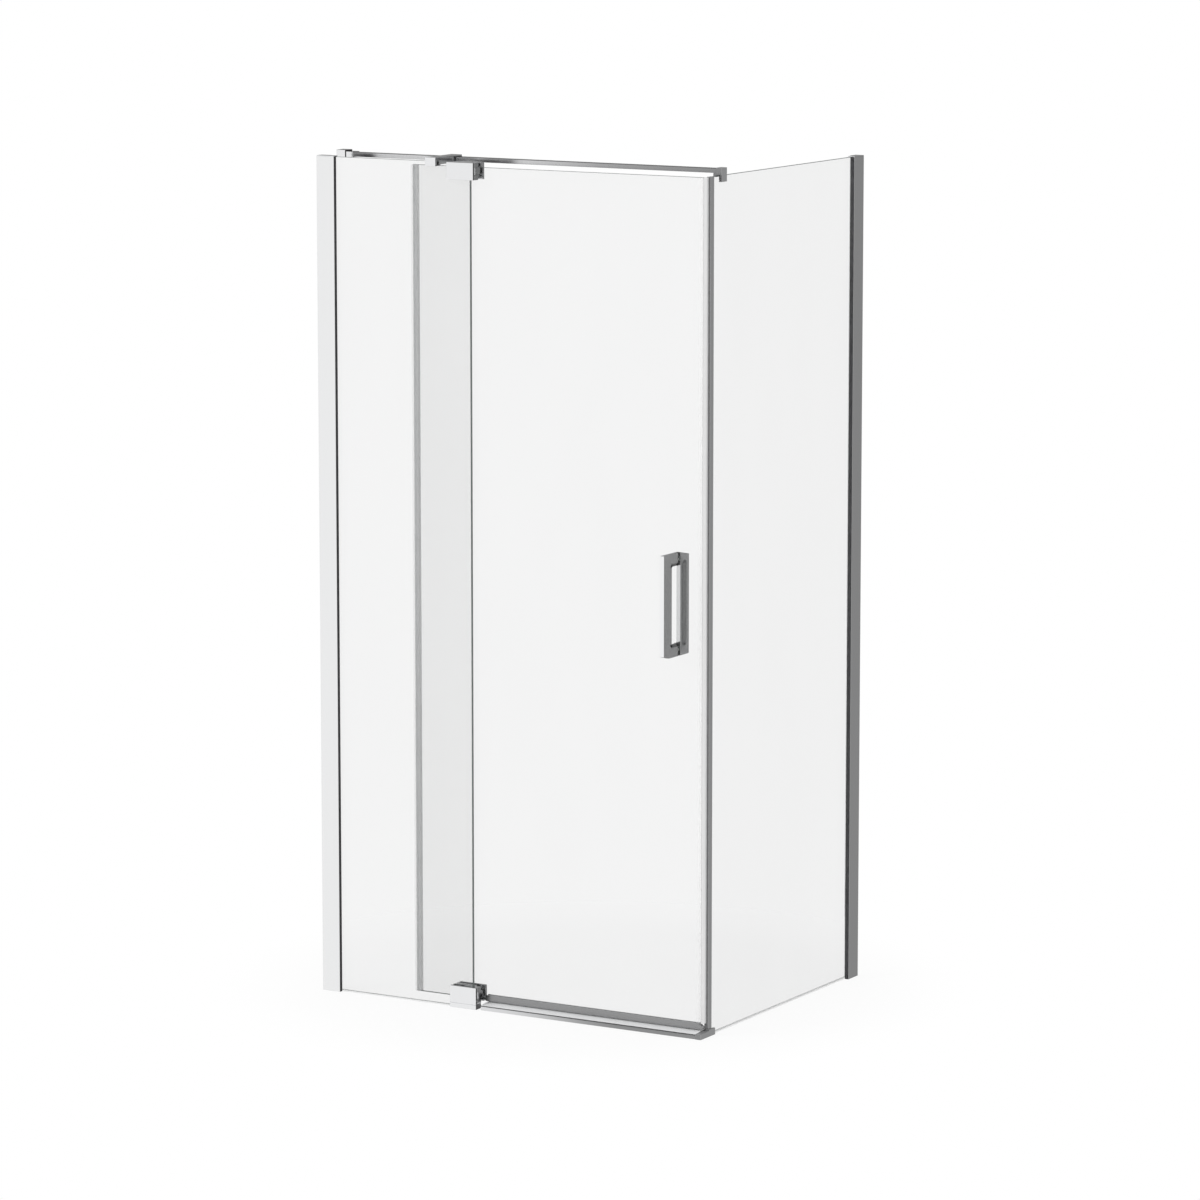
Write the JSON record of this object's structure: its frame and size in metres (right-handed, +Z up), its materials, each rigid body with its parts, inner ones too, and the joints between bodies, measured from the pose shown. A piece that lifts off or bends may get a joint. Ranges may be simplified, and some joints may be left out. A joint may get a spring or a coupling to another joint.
{
  "type": "pivot shower door with return panel",
  "caption": "Frameless corner shower enclosure: a glass pivot door that overlaps a fixed pane and closes on a return pane, with header bar, wall profiles, sill and grips.",
  "frame": {"origin": "on the floor, under the middle of the part's bounding box", "axes": "+X along the front from the left wall to the return pane, +Y from the front into the shower, +Z up"},
  "size_m": [1.04, 0.809, 2.011],
  "materials": {
    "clear_glass": "clear toughened glass, polished edges",
    "clear_seal": "clear soft plastic, smooth",
    "black_rubber": "black rubber, matt",
    "magnet_strip": "grey plastic-bound magnet, matt",
    "white_nylon": "white nylon, matt",
    "plain_aluminium": "plain extruded aluminium",
    "steel_fasteners": "stainless steel",
    "chrome": "bright polished, mirror-like"
  },
  "bodies": {
    "enclosure": {"back_clamping_insert": "plain_aluminium", "back_glazing_gaskets": "black_rubber", "back_profile_cap": "chrome", "back_profile_screws": "steel_fasteners", "back_setting_blocks": "white_nylon", "back_wall_profile": "chrome", "bottom_hinge_body": "chrome", "bottom_hinge_cover": "chrome", "bottom_hinge_foot": "chrome", "bottom_hinge_gaskets": "black_rubber", "bottom_pivot_pin": "steel_fasteners", "fixed_glass": "clear_glass", "fixed_glass_bushings": "white_nylon", "fixed_glass_floor_seal": "clear_seal", "header_bar": "chrome", "header_grub_screws": "steel_fasteners", "header_wall_bracket": "chrome", "hinge_cover_bolts": "steel_fasteners", "left_clamping_insert": "plain_aluminium", "left_glazing_gaskets": "black_rubber", "left_profile_cap": "chrome", "left_profile_screws": "steel_fasteners", "left_setting_blocks": "white_nylon", "left_wall_profile": "chrome", "panel_arm": "chrome", "panel_arm_liner": "black_rubber", "panel_arm_pads": "black_rubber", "return_glass": "clear_glass", "return_glass_floor_seal": "clear_seal", "return_saddle": "chrome", "return_saddle_pads": "black_rubber", "sill": "chrome", "sill_end_cap": "chrome", "strike_magnet": "magnet_strip", "strike_profile": "chrome", "top_hinge_body": "chrome", "top_hinge_cover": "chrome", "top_hinge_gaskets": "black_rubber", "top_pivot_pin": "steel_fasteners"},
    "door": {"bottom_door_clamp": "chrome", "bottom_door_clamp_plate": "chrome", "bottom_door_gaskets": "black_rubber", "bottom_pivot_bush": "white_nylon", "door_bottom_rail": "chrome", "door_clamp_bolts": "steel_fasteners", "door_glass": "clear_glass", "door_glass_bushings": "white_nylon", "door_latch_seal": "clear_seal", "door_magnet": "magnet_strip", "door_pivot_seal": "clear_seal", "door_sweep": "clear_seal", "grip_bolts": "steel_fasteners", "grip_pads": "black_rubber", "inner_grip": "chrome", "outer_grip": "chrome", "top_door_clamp": "chrome", "top_door_clamp_plate": "chrome", "top_door_gaskets": "black_rubber", "top_pivot_bush": "white_nylon"}
  },
  "joints": [
    {"name": "door_pivot", "type": "hinge", "parent": "enclosure", "child": "door", "pos_m": [-0.104, -0.3545, 0], "axis": [0, 0, -1], "range_deg": [0, 90]}
  ]
}
